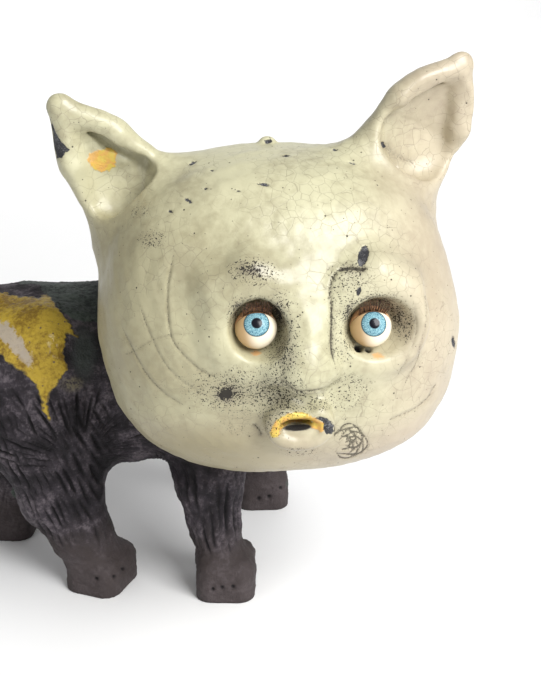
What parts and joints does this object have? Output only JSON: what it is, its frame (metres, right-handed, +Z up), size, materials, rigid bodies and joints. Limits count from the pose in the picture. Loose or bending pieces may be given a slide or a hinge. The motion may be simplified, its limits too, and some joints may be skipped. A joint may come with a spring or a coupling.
{
  "type": "raku cat sculpture",
  "caption": "Hand-built raku-fired ceramic cat with a large crackle-glazed doll-like head on a small smoke-blackened body, with glued-in doll's eyes and lashes.",
  "frame": {"origin": "on the floor under the middle of the whole cat's bounding box", "axes": "+X along the body from the tail to the chest, -Y the way the face looks (to the cat's right), +Z up"},
  "size_m": [0.2938, 0.2444, 0.2942],
  "materials": {
    "glazed_clay": "raku-fired clay: cream crackle glaze on the head, smoke-blackened bare clay on the body",
    "eye_acrylic": "polished acrylic doll's eye with a pale blue iris",
    "lash_fibre": "brown synthetic lash fibre"
  },
  "bodies": {
    "root": {"raku_cat": "glazed_clay", "right_eye": "eye_acrylic", "left_eye": "eye_acrylic", "right_lashes": "lash_fibre", "left_lashes": "lash_fibre"}
  },
  "joints": []
}
